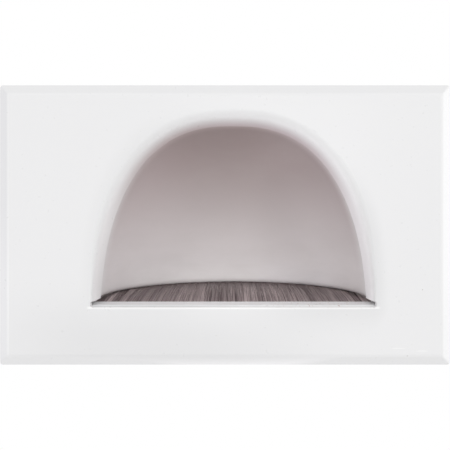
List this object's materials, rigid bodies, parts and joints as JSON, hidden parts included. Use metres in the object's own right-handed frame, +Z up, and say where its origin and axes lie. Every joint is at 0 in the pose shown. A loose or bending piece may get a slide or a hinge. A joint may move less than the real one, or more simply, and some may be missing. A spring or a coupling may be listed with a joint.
{
  "type": "bullnose wall plate",
  "caption": "Rectangular wall plate with a D-shaped recess whose open underside is closed by a strip brush, so cables pass from the wall down and out through the bristles.",
  "frame": {"origin": "centre of the plate on the wall, midway between the two fixing slots", "axes": "face looks along -Y, +Y goes into the wall, +X to the right seen from the front, +Z up"},
  "size_m": [0.116, 0.0362, 0.072],
  "materials": {
    "cover": "smooth white moulded plastic, low gloss",
    "mounting_base": "smooth white moulded plastic",
    "brush_holder": "satin, with smears of clear adhesive",
    "core_wire": "plain drawn wire",
    "bristles": "fine brown-grey nylon filaments"
  },
  "bodies": {
    "root": {"cover": "cover", "mounting_base": "mounting_base", "brush_holder": "brush_holder", "core_wire": "core_wire", "bristles": "bristles"}
  },
  "joints": []
}
